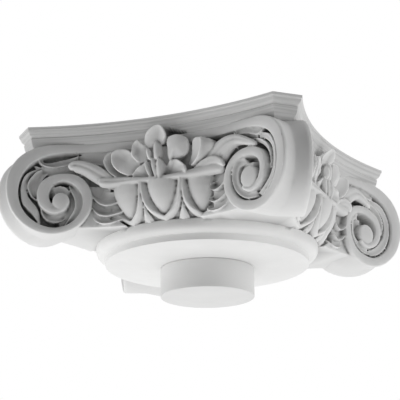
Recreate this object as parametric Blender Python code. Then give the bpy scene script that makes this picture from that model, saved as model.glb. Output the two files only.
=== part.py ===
# Angular Ionic column capital with four diagonal volutes, and the round plug under its necking ring.
# Metres, +Z up. The origin is at the centre of the plug's underside, and the part is the same on all
# four faces. Carving is laid out in face coordinates: u runs along the hollow face, z is height, and w
# stands out from the face.
import bmesh
import bpy
import numpy as np
from math import asin, cos, pi, radians, sin, sqrt

# Heights
TOTAL_HEIGHT = 0.1517
PLUG_HEIGHT = 0.0295
RING_TOP = 0.053
ECHINUS_TOP = 0.091
BLOCK_BASE = 0.088
BLOCK_TOP = 0.136

# Plug and necking ring
PLUG_RADIUS = 0.0473
PLUG_GAP = 0.0003
NECK_RADIUS = 0.1030
RING_RADIUS = 0.1123
SEAT_RADIUS = 0.0640
FILLET_BASE = 0.0325
FILLET_TOP = 0.0395
NOSE_STEPS = ((0.1060, 0.0400), (0.1093, 0.0414), (0.1115, 0.0440), (0.1123, 0.0470))
RING_EDGE = 0.0010
PLUG_EDGE = 0.0008
ROUND_SIDES = 48

# Abacus
ABACUS_HALF = 0.1496
ABACUS_CORNER_CUT = 0.0217
ABACUS_HOLLOW = 0.0215
ABACUS_THICKNESS = 0.0215
ABACUS_INSET = 0.0080
COVE_HEIGHT = 0.0110
COVE_REACH = 0.0030
QUIRK = 0.0008
QUIRK_INSET = 0.0048
OVOLO_HEIGHT = 0.0067
ABACUS_SIDE_STEPS = 10

# Hollow face that carries the volutes
FACE_DEPTH = 0.1165
FACE_CURVE = 0.2390
GROUND_DEPTH = 0.0120
BLOCK_REACH = 0.1050
CHEEK_HOLLOW = 0.0065
CHEEK_STEP = 0.0015
SCROLL_LEAD = 0.0180
SCROLL_TURNS = 7.2
PIER_START = 0.0530
PIER_DEPTH = 0.0080
PIER_BASE = 0.0500
PIER_HEART = 0.0500
BAND_LIP = 0.0040
ROOT = 0.0020

# Volute: the outer edge's radius from the eye at each eighth of a turn, starting at the top
EYE_U = 0.1010
EYE_Z = 0.0750
EYE_RADIUS = 0.0082
EYE_RISE = 0.0050
VOLUTE_RADII = (0.0585, 0.0590, 0.0497, 0.0390, 0.0320, 0.0305, 0.0315, 0.0340,
                0.0310, 0.0256, 0.0205, 0.0162, 0.0134)
BAND_WIDTH = 0.0095
BAND_LOW = 0.1264
BAND_HIGH = 0.1340

# Echinus: eggs in shells, with darts between them. Its bulging profile is height and radius.
ECHINUS_PROFILE = ((0.040, 0.1080), (0.050, 0.1125), (0.054, 0.1175), (0.058, 0.1215),
                   (0.064, 0.1255), (0.070, 0.1280), (0.078, 0.1300), (0.094, 0.1310))
ECHINUS_SCALE = 0.1300
SHELL_DEPTH = 0.0080
DRUM_SINK = 0.0115
EGG_PITCH = radians(18.6)
EGG_TOP = 0.0880
EGG_TIP = 0.0516
EGG_HALF = 0.0156
EGG_POINT = (2.0, 1.05)
SHELL_HALF = 0.0211
SHELL_TIP = 0.0502
SHELL_POINT = (3.2, 0.8)
SHELL_LIP = 0.0020
SHELL_LIP_GROWTH = 0.0025

# Dart between two shells: height, half width, and how far out its ridge stands
DART_ROWS = ((0.066, 0.0010, -0.0045), (0.059, 0.0018, -0.0018), (0.0506, 0.0056, -0.0018))

# Fusing of the carving
VOXEL = 0.0014
CARVING_FACES = 7400
SMOOTH_STEPS = 2

# Tables below are in millimetres, in face coordinates u, z and w.
MM = 0.001

# Fronds inside the volute: for each, its free edge, then the edge it dishes back to
FROND_DISH = 1.5
OUTER_FROND = (((121.7, 111.0, -8.0), (133.2, 98.6, -5.0), (135.6, 81.0, -4.0), (127.2, 64.0, -4.0),
                (120.2, 53.6, -6.0)),
               ((119.5, 108.0, -8.0), (130.8, 92.0, -7.5), (127.0, 78.0, -7.0), (120.8, 66.5, -6.5),
                (118.2, 56.5, -8.0)))
INNER_FROND = (((120.0, 109.8, -5.0), (129.3, 99.0, -3.0), (130.2, 82.0, -2.6), (123.0, 77.0, -4.5)),
               ((112.0, 106.0, -6.0), (117.0, 96.0, -4.0), (119.5, 84.0, -4.0), (118.5, 76.0, -5.5)))
FOOT_FROND = (((118.4, 66.5, -5.0), (112.4, 56.7, -3.2), (101.5, 54.0, -3.0), (93.4, 59.8, -5.0)),
              ((117.0, 70.0, -5.0), (109.5, 64.0, -4.0), (101.0, 63.5, -4.0), (93.6, 66.0, -5.5)))
BACK_FROND = (((93.5, 92.5, -7.0), (87.0, 79.0, -3.0), (88.0, 65.5, -3.0), (96.0, 53.0, -6.0)),
              ((91.0, 96.5, -6.0), (77.8, 79.5, -2.0), (80.5, 61.0, -2.2), (91.4, 50.0, -5.0)))
FRONDS = (OUTER_FROND, INNER_FROND, FOOT_FROND, BACK_FROND)

# Leaf tips that hang one over the other beside the volute, in the same pairs of edges
TIPS = ((((69.0, 81.0, -5.0), (61.4, 72.2, -0.6), (55.5, 69.6, -0.4), (46.0, 74.5, -5.0)),
         ((70.0, 92.0, -11.0), (62.0, 86.5, -9.0), (56.0, 85.0, -9.0), (47.0, 84.5, -11.0))),
        (((70.0, 69.5, -6.0), (61.5, 60.8, -1.6), (54.5, 59.9, -1.4), (44.5, 64.5, -6.0)),
         ((69.0, 80.0, -12.0), (61.5, 72.5, -10.5), (56.0, 70.5, -10.5), (46.0, 74.0, -12.0))),
        (((69.0, 59.5, -7.0), (60.2, 53.2, -3.6), (54.0, 53.0, -3.6), (45.0, 57.5, -7.0)),
         ((69.0, 68.0, -13.0), (60.5, 62.0, -11.5), (54.0, 61.0, -11.5), (45.0, 64.0, -13.0))))

# Leaves along the band. Each row is a point on the leaf's spine, its half width and its thickness.
UPPER_LEAF = ((54.0, 120.3, -8.0, 4.0, 9.0), (92.0, 118.0, -5.0, 5.2, 9.5), (114.0, 115.3, -2.0, 5.4, 8.5),
              (123.0, 118.0, -0.6, 3.0, 6.0))
LOWER_LEAF = ((50.0, 90.0, -4.0, 5.0, 13.0), (67.0, 101.5, 0.5, 9.2, 12.0), (84.0, 108.4, 3.2, 6.6, 10.0),
              (91.8, 105.0, 3.4, 3.4, 8.0))
GARLAND = ((0.0, 89.0, 8.5, 2.6, 12.0), (18.0, 89.2, 7.2, 3.0, 12.0), (34.0, 90.6, 3.0, 4.4, 12.0),
           (65.0, 91.6, -2.0, 4.6, 11.0))
SPRAYS = (UPPER_LEAF, LOWER_LEAF, GARLAND)

# Petals of half a flower: the root, then points round the edge
PETAL_THICKNESS = 4.5
SIDE_PETAL = ((23.0, 103.0, 4.0), ((22.5, 105.5, 7.0), (34.0, 116.5, 13.0), (46.0, 120.3, 16.0),
                                   (50.3, 108.0, 16.0), (38.0, 97.5, 12.0), (24.0, 98.0, 7.0)))
SEPAL = ((43.0, 107.0, -3.0), ((35.0, 114.0, 3.0), (46.0, 121.3, 11.0), (57.5, 116.5, 16.0),
                               (59.0, 104.0, 16.0), (46.0, 95.0, 9.0), (31.0, 100.0, 3.0)))
UPPER_PETAL = ((12.0, 105.0, 5.0), ((11.5, 112.0, 10.0), (13.5, 123.5, 15.5), (22.0, 129.2, 18.0),
                                    (32.5, 122.0, 18.0), (30.0, 110.0, 15.0), (17.0, 102.0, 8.5)))
LOWER_PETAL = ((14.0, 97.0, 8.0), ((10.0, 99.0, 10.0), (18.0, 104.8, 14.0), (31.0, 96.5, 13.5),
                                   (20.0, 89.8, 11.5)))
HALF_PETALS = (SIDE_PETAL, SEPAL, UPPER_PETAL, LOWER_PETAL)

# Petal and pistil on the middle line of a face
TOP_PETAL = ((0.0, 113.0, 7.0), ((-6.0, 114.0, 9.5), (-12.5, 127.0, 16.5), (-9.0, 137.5, 20.5),
                                 (0.0, 140.6, 21.5), (9.0, 137.5, 20.5), (12.5, 127.0, 16.5),
                                 (6.0, 114.0, 9.5)))
PISTIL = ((0.0, 88.0, 12.5, 3.6, 7.0), (0.0, 100.0, 14.5, 4.4, 8.0), (0.0, 112.0, 16.0, 4.8, 8.0),
          (0.0, 124.0, 15.5, 4.0, 7.0))


def clear_scene():
    for item in list(bpy.data.objects):
        bpy.data.objects.remove(item, do_unlink=True)


def make_material(name, colour, roughness):
    material = bpy.data.materials.new(name)
    material.use_nodes = True
    shader = material.node_tree.nodes["Principled BSDF"]
    shader.inputs["Base Color"].default_value = (*colour, 1.0)
    shader.inputs["Roughness"].default_value = roughness
    shader.inputs["Metallic"].default_value = 0.0
    return material


def make_object(name, parts, material=None):
    """Join lists of points and faces into one mesh object."""
    points = []
    faces = []
    for part_points, part_faces in parts:
        start = len(points)
        points.extend(tuple(float(c) for c in p) for p in part_points)
        faces.extend(tuple(start + i for i in face) for face in part_faces)
    mesh = bpy.data.meshes.new(name)
    mesh.from_pydata(points, [], faces)
    mesh.validate()
    if material:
        mesh.materials.append(material)
    item = bpy.data.objects.new(name, mesh)
    bpy.context.scene.collection.objects.link(item)
    return item


def make_cutter(name, parts):
    """A hidden solid that a Boolean uses."""
    item = make_object(name, parts)
    item.hide_render = True
    item.display_type = "WIRE"
    return item


def loft(rings):
    """Skin closed rings of equal length, with a flat cap at each end."""
    count = len(rings[0])
    points = [p for ring in rings for p in ring]
    faces = []
    for k in range(len(rings) - 1):
        for i in range(count):
            j = (i + 1) % count
            faces.append((k * count + i, k * count + j, (k + 1) * count + j, (k + 1) * count + i))
    last = (len(rings) - 1) * count
    faces.append(tuple(reversed(range(count))))
    faces.append(tuple(range(last, last + count)))
    return points, faces


def turned(profile, sides=ROUND_SIDES):
    """Turn a profile of (radius, height), from the bottom up, round the Z axis."""
    rings = []
    for radius, height in profile:
        angles = [2 * pi * i / sides for i in range(sides)]
        rings.append([(radius * cos(a), radius * sin(a), height) for a in angles])
    return loft(rings)


def spline(rows, count):
    """Smooth curve through a few rows of numbers, evenly sampled by row."""
    rows = np.array(rows, dtype=float)
    padded = np.vstack((2 * rows[0] - rows[1], rows, 2 * rows[-1] - rows[-2]))
    samples = []
    for t in np.linspace(0, len(rows) - 1, count):
        k = min(int(t), len(rows) - 2)
        f = t - k
        a, b, c, d = padded[k:k + 4]
        samples.append(0.5 * (2 * b + (c - a) * f + (2 * a - 5 * b + 4 * c - d) * f ** 2
                              + (3 * b - a - 3 * c + d) * f ** 3))
    return np.array(samples)


def face_point(u, z, w):
    """A point of the front face, from face coordinates."""
    angle = u / FACE_CURVE
    reach = FACE_CURVE - w
    return (reach * sin(angle), reach * cos(angle) - FACE_DEPTH - FACE_CURVE, z)


def echinus_radius(z):
    heights, radii = zip(*ECHINUS_PROFILE)
    return float(np.interp(z, heights, radii))


def echinus_point(s, z, h):
    """A point of the round echinus: s along it, h out from the shells' lips."""
    angle = s / ECHINUS_SCALE
    radius = echinus_radius(z) + h
    return (radius * sin(angle), -radius * cos(angle), z)


def place(part, to_space):
    points, faces = part
    return [to_space(*p) for p in points], faces


def mirrored(part):
    points, faces = part
    return [(-x, y, z) for x, y, z in points], [tuple(reversed(f)) for f in faces]


def turned_copies(parts):
    """The same parts on all four faces."""
    copies = []
    for quarter in range(4):
        c, s = round(cos(quarter * pi / 2)), round(sin(quarter * pi / 2))
        for points, faces in parts:
            copies.append(([(c * x - s * y, s * x + c * y, z) for x, y, z in points], faces))
    return copies


def strip(rows, count=9, across=5, cup=0.1):
    """A leaf: a rounded slab along its spine, its edges raised by cup."""
    samples = spline(rows, count) * MM
    spine = samples[:, :3]
    tangents = np.gradient(spine, axis=0)
    shares = np.linspace(-1, 1, across)
    rings = []
    for point, tangent, half, thick in zip(spine, tangents, samples[:, 3], samples[:, 4]):
        side = np.cross((0.0, 0.0, 1.0), tangent)
        side /= np.linalg.norm(side)
        out = np.cross(tangent, side)
        out /= np.linalg.norm(out)
        bulge = thick / 2 * (1 - 0.5 * shares ** 2)
        lift = cup * half * shares ** 2
        middle = point + np.outer(half * shares, side)
        upper = middle + np.outer(lift + bulge, out)
        lower = middle + np.outer(lift - bulge, out)
        rings.append([*upper, *lower[::-1]])
    return loft(rings)


def lobe(edge, back, count=9, across=5):
    """A frond: a solid between two edge curves, dished between them, rooted in the ground."""
    low = -GROUND_DEPTH - ROOT
    share = np.linspace(0, 1, across)
    rings = []
    for start, end in zip(spline(edge, count) * MM, spline(back, count) * MM):
        top = start + np.outer(share, end - start)
        top[:, 2] -= FROND_DISH * MM * np.sin(pi * share)
        rings.append([*top, (end[0], end[1], low), (start[0], start[1], low)])
    return loft(rings)


def petal(root, edge, count=18):
    """A cupped petal that widens from its root to the closed curve of its edge."""
    closed = np.array(edge[-2:] + edge + edge[:3])
    path = spline(closed, 1 + count * (len(closed) - 1)) * MM
    path = path[2 * count:(2 + len(edge)) * count:len(edge)]
    root = np.array(root) * MM
    rings = []
    for share, down in ((0.05, 0), (0.5, 0), (0.85, 0), (1.0, 0.25), (1.0, 0.75), (0.8, 1), (0.05, 1)):
        ring = root + (path - root) * share
        ring[:, 2] = root[2] + (path[:, 2] - root[2]) * share ** 1.5 - down * PETAL_THICKNESS * MM
        rings.append(list(ring))
    return loft(rings)


def volute_radius(turn):
    """Radius of the volute's outer edge, turn counted in eighths from the top."""
    rows = [(r,) for r in VOLUTE_RADII]
    window = spline(rows, 1 + 16 * (len(rows) - 1))[:, 0]
    return float(np.interp(turn, np.linspace(0, len(rows) - 1, len(window)), window))


def volute_point(turn, inset=0.0):
    """A point of the volute's spiral on the right of a face, as u and z."""
    angle = turn * pi / 4
    radius = max(volute_radius(turn) - inset, 0.0)
    return EYE_U + radius * sin(angle), EYE_Z + radius * cos(angle)


def abacus_outline(inset):
    """Plan of the abacus: four hollow sides and four cut corners."""
    chord = ABACUS_HALF - ABACUS_CORNER_CUT
    curve = (chord ** 2 + ABACUS_HOLLOW ** 2) / (2 * ABACUS_HOLLOW)
    centre = ABACUS_HALF - ABACUS_HOLLOW + curve
    reach = curve + inset
    corner = 2 * ABACUS_HALF - ABACUS_CORNER_CUT - inset * sqrt(2)
    swing = pi / 4 + asin((corner - centre) / (reach * sqrt(2)))
    side = [(reach * sin(a), reach * cos(a) - centre)
            for a in np.linspace(-swing, swing, ABACUS_SIDE_STEPS + 1)]
    outline = []
    for quarter in range(4):
        c, s = cos(quarter * pi / 2), sin(quarter * pi / 2)
        outline.extend((c * x - s * y, s * x + c * y) for x, y in side)
    return outline


def abacus_parts():
    """Fillet, ovolo, quirk and cavetto, from the underside up."""
    base = TOTAL_HEIGHT - ABACUS_THICKNESS
    profile = [(base, ABACUS_INSET)]
    for share in (0.35, 0.7, 1.0):
        profile.append((base + COVE_HEIGHT * share, ABACUS_INSET - COVE_REACH * share ** 2))
    start = base + COVE_HEIGHT + QUIRK
    profile.append((start, QUIRK_INSET))
    for share in (0.3, 0.65, 1.0):
        profile.append((start + OVOLO_HEIGHT * share, QUIRK_INSET * (1 - share) ** 0.6))
    profile.append((TOTAL_HEIGHT, 0.0))
    return [loft([[(x, y, z) for x, y in abacus_outline(inset)] for z, inset in profile])]


def ring_parts():
    """Necking ring with a round nose, and the fillet and seat under it."""
    profile = [(SEAT_RADIUS, PLUG_HEIGHT), (NECK_RADIUS, FILLET_BASE), (NECK_RADIUS, FILLET_TOP)]
    profile.extend(NOSE_STEPS)
    profile += [(RING_RADIUS, RING_TOP - RING_EDGE), (RING_RADIUS - RING_EDGE, RING_TOP)]
    return [turned(profile)]


def core_parts():
    """Echinus drum and the hollow-sided block behind the carving."""
    levels = np.linspace(RING_TOP - DRUM_SINK, ECHINUS_TOP, 6)
    drum = turned([(echinus_radius(z) - SHELL_DEPTH, z) for z in levels])
    side = [face_point(u, 0.0, -GROUND_DEPTH)[:2] for u in np.linspace(-BLOCK_REACH, BLOCK_REACH, 13)]
    outline = []
    for quarter in range(4):
        c, s = cos(quarter * pi / 2), sin(quarter * pi / 2)
        outline.extend((c * x - s * y, s * x + c * y) for x, y in side)
    block = loft([[(x, y, z) for x, y in outline] for z in (BLOCK_BASE, BLOCK_TOP)])
    return [drum, block]


def scroll_part():
    """Body of one corner scroll, between the faces on either side of the corner, its cheek hollowed."""
    turns = np.linspace(0.0, SCROLL_TURNS, 40)
    outline = [(EYE_U - SCROLL_LEAD, BAND_HIGH)] + [volute_point(t) for t in turns]
    rings = []
    for share, w in ((0.4, -GROUND_DEPTH), (0.93, -GROUND_DEPTH), (1.0, -CHEEK_STEP)):
        rings.append([face_point(EYE_U + (u - EYE_U) * share, EYE_Z + (z - EYE_Z) * share, w)
                      for u, z in outline])
    front = rings[-1]
    beyond = [(-y, -x, z) for x, y, z in front]
    for share in (0.08, 0.5, 0.92):
        sink = CHEEK_HOLLOW / sqrt(2) * (share == 0.5)
        rings.append([((1 - share) * a[0] + share * b[0] - sink,
                       (1 - share) * a[1] + share * b[1] + sink, a[2])
                      for a, b in zip(front, beyond)])
    rings.extend([[(-y, -x, z) for x, y, z in ring] for ring in rings[2::-1]])
    return loft(rings)


def pier_part():
    """Block under one corner's carving: its flat soffit runs from the scroll back to the ring."""
    front = [face_point(u, 0.0, -PIER_DEPTH)[:2] for u in np.linspace(PIER_START, EYE_U, 6)]
    beyond = [(-y, -x) for x, y in reversed(front)]
    outline = front + beyond + [(PIER_HEART, -PIER_HEART)]
    return loft([[(x, y, z) for x, y in outline] for z in (PIER_BASE, BLOCK_BASE + 0.003)])


def band_part():
    """Raised band from the middle of a face along under the abacus and round the volute."""
    low = -GROUND_DEPTH - ROOT
    rings = []
    for u in np.linspace(0.0, EYE_U, 7)[:-1]:
        rings.append([(u, BAND_HIGH, low), (u, BAND_HIGH, 0.0), (u, BAND_LOW, 0.0), (u, BAND_LOW, low)])
    last = len(VOLUTE_RADII) - 1
    for turn in np.linspace(0.0, last, 60):
        rise = EYE_RISE * turn / last
        outer = volute_point(turn)
        inner = volute_point(turn, BAND_WIDTH)
        foot = max(low, -BAND_LIP - 0.02 * max(turn - 5, 0))
        rings.append([(*outer, foot), (*outer, rise), (*inner, rise), (*inner, low)])
    return loft(rings)


def eye_part():
    """Round boss at the middle of the volute."""
    angles = [2 * pi * i / 16 for i in range(16)]
    rings = []
    for radius, w in ((1.0, -GROUND_DEPTH - ROOT), (1.0, EYE_RISE - 0.001), (0.7, EYE_RISE + 0.001)):
        rings.append([(EYE_U + EYE_RADIUS * radius * cos(a), EYE_Z + EYE_RADIUS * radius * sin(a), w)
                      for a in angles])
    return loft(rings)


def egg_part():
    """One egg, pointed below, in echinus coordinates."""
    rings = []
    for share in np.linspace(0.02, 0.98, 9):
        z = EGG_TOP - (EGG_TOP - EGG_TIP) * share
        half = EGG_HALF * (1 - share ** EGG_POINT[0]) ** EGG_POINT[1]
        angles = np.linspace(0, pi, 9)
        crown = (SHELL_DEPTH + ROOT) * half / EGG_HALF
        front = [(-half * cos(a), z, crown * sin(a) - SHELL_DEPTH - 0.001) for a in angles]
        back = [(half, z, -SHELL_DEPTH - 2 * ROOT), (-half, z, -SHELL_DEPTH - 2 * ROOT)]
        rings.append(front + back)
    return loft(rings)


def shell_part():
    """The shell round one egg: a lip that slopes in to the groove."""
    rings = []
    shares = np.linspace(0, 1, 13)
    sides = [(-1, s) for s in shares] + [(1, s) for s in shares[-2::-1]]
    for side, share in sides:
        z = EGG_TOP - (EGG_TOP - SHELL_TIP) * share
        half = SHELL_HALF * (1 - share ** SHELL_POINT[0]) ** SHELL_POINT[1]
        width = SHELL_LIP + SHELL_LIP_GROWTH * share
        lip = max(half - width, 0.0)
        groove_z = z + width * share
        groove = min(EGG_HALF * (1 - min(share, 0.98) ** EGG_POINT[0]) ** EGG_POINT[1], lip)
        rings.append([(side * half, z, -SHELL_DEPTH - ROOT), (side * half, z, -width * 0.6),
                      (side * (half * 0.3 + lip * 0.7), z, 0.0), (side * lip, groove_z, -0.001),
                      (side * groove, groove_z, -SHELL_DEPTH),
                      (side * groove, groove_z, -SHELL_DEPTH - ROOT)])
    return loft(rings)


def dart_part():
    """Small arrow head between two shells."""
    centre = ECHINUS_SCALE * EGG_PITCH / 2
    rings = []
    for z, half, h in DART_ROWS:
        rings.append([(centre - half, z, -SHELL_DEPTH - ROOT), (centre - half * 0.6, z, h - 0.002),
                      (centre, z, h), (centre + half * 0.6, z, h - 0.002),
                      (centre + half, z, -SHELL_DEPTH - ROOT)])
    return loft(rings)


def carving_parts():
    """All the carving: half a face mirrored, and one face turned four times."""
    half = [place(band_part(), face_point), place(eye_part(), face_point)]
    half += [place(lobe(edge, back), face_point) for edge, back in FRONDS + TIPS]
    half += [place(strip(rows), face_point) for rows in SPRAYS]
    half += [place(petal(root, edge), face_point) for root, edge in HALF_PETALS]
    half.append(place(dart_part(), echinus_point))
    egg = egg_part()
    shell = shell_part()
    offset = ECHINUS_SCALE * EGG_PITCH
    half.append(place(([(s + offset, z, h) for s, z, h in egg[0]], egg[1]), echinus_point))
    half.append(place(([(s + offset, z, h) for s, z, h in shell[0]], shell[1]), echinus_point))
    face = half + [mirrored(part) for part in half]
    face += [place(petal(*TOP_PETAL), face_point), place(strip(PISTIL), face_point)]
    face += [place(egg, echinus_point), place(shell, echinus_point)]
    face += [scroll_part(), pier_part()]
    return turned_copies(face)


def largest_body(mesh):
    """Delete the small sealed pockets that overlapping shapes leave inside a fused mesh."""
    shape = bmesh.new()
    shape.from_mesh(mesh)
    bodies = []
    waiting = set(shape.verts)
    while waiting:
        body = set()
        edge_of_body = [waiting.pop()]
        while edge_of_body:
            point = edge_of_body.pop()
            body.add(point)
            for edge in point.link_edges:
                other = edge.other_vert(point)
                if other in waiting:
                    waiting.remove(other)
                    edge_of_body.append(other)
        bodies.append(body)
    main = max(bodies, key=len)
    pockets = [point for body in bodies if body is not main for point in body]
    bmesh.ops.delete(shape, geom=pockets, context="VERTS")
    shape.to_mesh(mesh)
    shape.free()


def fused(name, parts, material):
    """Overlapping shapes melted into one skin, as one casting."""
    source = make_object(name, parts, material)
    melt = source.modifiers.new("Melt", "REMESH")
    melt.mode = "VOXEL"
    melt.voxel_size = VOXEL
    soften = source.modifiers.new("Soften", "SMOOTH")
    soften.factor = 0.5
    soften.iterations = SMOOTH_STEPS
    shaped = source.evaluated_get(bpy.context.evaluated_depsgraph_get())
    mesh = bpy.data.meshes.new_from_object(shaped)
    largest_body(mesh)
    source.modifiers.clear()
    source.data = mesh
    return source


def add_union(item, other):
    union = item.modifiers.new("Join " + other.name, "BOOLEAN")
    union.operation = "UNION"
    union.solver = "EXACT"
    union.object = other


def build_capital(material):
    capital = fused("capital", core_parts() + carving_parts(), material)
    thin = capital.modifiers.new("Fewer faces", "DECIMATE")
    thin.ratio = CARVING_FACES / (2 * len(capital.data.polygons))
    thin.use_collapse_triangulate = True
    add_union(capital, make_cutter("abacus_block", abacus_parts()))
    add_union(capital, make_cutter("ring_block", ring_parts()))
    return capital


def build_plug(material):
    top = PLUG_HEIGHT - PLUG_GAP
    profile = [(PLUG_RADIUS - PLUG_EDGE, 0.0), (PLUG_RADIUS, PLUG_EDGE), (PLUG_RADIUS, top)]
    plug = make_object("plug", [turned(profile)], material)
    plug.data.shade_smooth()
    plug.data.set_sharp_from_angle(angle=radians(35))
    return plug


clear_scene()
primer = make_material("primed_white", (0.82, 0.82, 0.81), 0.6)
build_capital(primer)
build_plug(make_material("plug_white", (0.80, 0.80, 0.79), 0.6))
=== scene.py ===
from math import asin, cos, pi, radians, sin, sqrt

import bmesh
import bpy
import numpy as np
from mathutils import Matrix, Vector
from mathutils.bvhtree import BVHTree


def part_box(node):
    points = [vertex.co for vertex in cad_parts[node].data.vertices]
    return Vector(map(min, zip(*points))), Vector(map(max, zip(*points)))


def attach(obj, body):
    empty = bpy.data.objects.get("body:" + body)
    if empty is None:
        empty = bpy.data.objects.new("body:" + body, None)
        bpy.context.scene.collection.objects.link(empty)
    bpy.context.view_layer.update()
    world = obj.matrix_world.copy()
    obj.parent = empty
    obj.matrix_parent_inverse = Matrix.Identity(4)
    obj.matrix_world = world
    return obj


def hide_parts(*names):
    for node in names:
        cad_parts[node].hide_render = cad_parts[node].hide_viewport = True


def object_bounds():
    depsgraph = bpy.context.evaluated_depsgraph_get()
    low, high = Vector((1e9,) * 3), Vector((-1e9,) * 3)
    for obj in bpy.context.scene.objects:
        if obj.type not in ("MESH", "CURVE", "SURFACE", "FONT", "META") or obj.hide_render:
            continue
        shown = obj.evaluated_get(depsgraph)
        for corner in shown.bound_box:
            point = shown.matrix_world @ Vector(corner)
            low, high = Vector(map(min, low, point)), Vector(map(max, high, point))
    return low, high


# Sizes below are in millimetres and become metres when a shape is placed.
# Carving is laid out flat: u along a hollow face, z up, w out from the face.
mm = 0.001

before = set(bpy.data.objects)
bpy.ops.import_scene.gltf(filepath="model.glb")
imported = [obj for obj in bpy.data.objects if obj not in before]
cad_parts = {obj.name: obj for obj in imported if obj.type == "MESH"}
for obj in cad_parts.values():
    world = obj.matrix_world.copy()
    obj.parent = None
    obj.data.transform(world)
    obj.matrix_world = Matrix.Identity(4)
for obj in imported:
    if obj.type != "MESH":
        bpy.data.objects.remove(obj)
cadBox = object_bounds()
plugHigh = np.array(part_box("plug")[1]) / mm
print("frame loaded")


# curves and lofts

def spline(rows, count):
    rows = np.array(rows, dtype=float)
    padded = np.vstack((2 * rows[0] - rows[1], rows, 2 * rows[-1] - rows[-2]))
    steps = np.linspace(0, len(rows) - 1, count)
    k = np.minimum(steps.astype(int), len(rows) - 2)
    f = (steps - k)[:, None]
    a, b, c, d = (padded[k + i] for i in range(4))
    return 0.5 * (2 * b + (c - a) * f + (2 * a - 5 * b + 4 * c - d) * f ** 2
                  + (3 * b - a - 3 * c + d) * f ** 3)


def loft(rings):
    rings = np.asarray(rings, dtype=float)
    count, around = rings.shape[:2]
    rows = np.arange(count - 1)[:, None] * around
    start = rows + np.arange(around)
    beside = rows + (np.arange(around) + 1) % around
    quads = np.stack((start, beside, beside + around, start + around), axis=-1).reshape(-1, 4)
    last = (count - 1) * around
    faces = quads.tolist()
    faces.append(list(range(around))[::-1])
    faces.append(list(range(last, last + around)))
    return rings.reshape(-1, 3), faces


def level(outline, height):
    return np.column_stack((outline, np.full(len(outline), height)))


def turned(profile, sides, centre=(0, 0)):
    angles = np.linspace(0, 2 * pi, sides, endpoint=False)
    circle = np.column_stack((np.cos(angles), np.sin(angles)))
    return loft([level(centre + radius * circle, height) for radius, height in profile])


def scaled(shape):
    return shape[0] * mm, shape[1]


def unit(vectors):
    return vectors / np.linalg.norm(vectors, axis=1, keepdims=True)


leafForm = {
    "endRound": 0.96,  # how far the rounded ends draw in
    "endThickness": 0.35,
    "edgeRound": 0.97,
    "grooveWidth": 0.16,
    "grooveFade": 5,  # a leaf with less half width has a shallower groove
}


def roundedEnds(count, start, end):
    t = np.linspace(0, 1, count)
    shape = np.ones(count)
    for length, inward in ((start, start - t), (end, t - 1 + end)):
        if length:
            shape *= np.sqrt(1 - leafForm["endRound"] * np.clip(inward / length, 0, 1) ** 2)
    return shape


def leaf(rows, cup=0.2, tilt=0.0, groove=0.0, start=0.0, end=0.3, samples=36, across=17):
    # rows along the spine: u, z, w, half width, thickness
    f = leafForm
    path = spline(rows, samples)
    ends = roundedEnds(samples, start, end)
    spine, half = path[:, :3], path[:, 3] * ends
    thick = path[:, 4] * (f["endThickness"] + (1 - f["endThickness"]) * ends)
    along = unit(np.gradient(spine, axis=0))
    side = unit(np.cross((0.0, 0.0, 1.0), along))
    out = unit(np.cross(along, side))
    share = np.linspace(-1, 1, across)
    edge = np.sqrt(1 - f["edgeRound"] * np.abs(share) ** 4)
    lift = cup * share ** 2 + tilt * share
    crease = groove * np.exp(-(share / f["grooveWidth"]) ** 2)
    rings = []
    for p, s, o, h, t in zip(spine, side, out, half, thick):
        middle = p + np.outer(share * h, s) + np.outer(lift * h, o)
        upper = middle + np.outer(edge * t / 2 - crease * min(1, h / f["grooveFade"]), o)
        lower = middle - np.outer(edge * t / 2, o)
        rings.append(np.vstack((upper, lower[::-1])))
    return loft(rings)


def mirrored(shape):
    points, faces = shape
    return points * (-1, 1, 1), [face[::-1] for face in faces]


def fourSides(shapes):
    copies = []
    for quarter in range(4):
        c, s = round(cos(quarter * pi / 2)), round(sin(quarter * pi / 2))
        turn = np.array(((c, s, 0), (-s, c, 0), (0, 0, 1)))
        copies += [(points @ turn, faces) for points, faces in shapes]
    return copies


def placed(name, data):
    thing = bpy.data.objects.new(name, data)
    bpy.context.scene.collection.objects.link(thing)
    return thing


def meshObject(name, shapes):
    points, faces, count = [], [], 0
    for shapePoints, shapeFaces in shapes:
        points.append(shapePoints)
        faces += [[count + i for i in face] for face in shapeFaces]
        count += len(shapePoints)
    mesh = bpy.data.meshes.new(name)
    mesh.from_pydata(np.vstack(points).tolist(), [], faces)
    mesh.validate()
    return placed(name, mesh)


def mouldedObject(name, shape, sharpAngle):
    piece = meshObject(name, [scaled(shape)])
    piece.data.shade_smooth()
    piece.data.set_sharp_from_angle(angle=radians(sharpAngle))
    return piece


# the hollow face that carries the carving, and the four corners

hollowFace = {
    "depth": 116.5,  # from the axis to the middle of a face
    "curve": 239,  # radius of the hollow
    "ground": 13,  # how deep the carving is cut
    "footing": 15,  # how deep its pieces are rooted
    "blockReach": 105,
    "blockBase": 88,
    "blockTop": 136,
    "blockSteps": 33,
}


def onFace(shape):
    points, faces = shape
    u, z, w = points.T
    angle = u / hollowFace["curve"]
    reach = hollowFace["curve"] - w
    back = hollowFace["depth"] + hollowFace["curve"]
    return mm * np.column_stack((reach * np.sin(angle), reach * np.cos(angle) - back, z)), faces


def faceSpot(u, z, w):
    return onFace((np.array(((u, z, w),), dtype=float), []))[0][0]


def cornerOutline(side):
    # a plan outline from one side's points, turned round the four sides
    outline = []
    for quarter in range(4):
        c, s = cos(quarter * pi / 2), sin(quarter * pi / 2)
        outline += [(c * x - s * y, s * x + c * y) for x, y in side]
    return np.array(outline)


def facePlan(start, end, depth, count):
    return [faceSpot(u, 0, -depth)[:2] / mm for u in np.linspace(start, end, count)]


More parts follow.
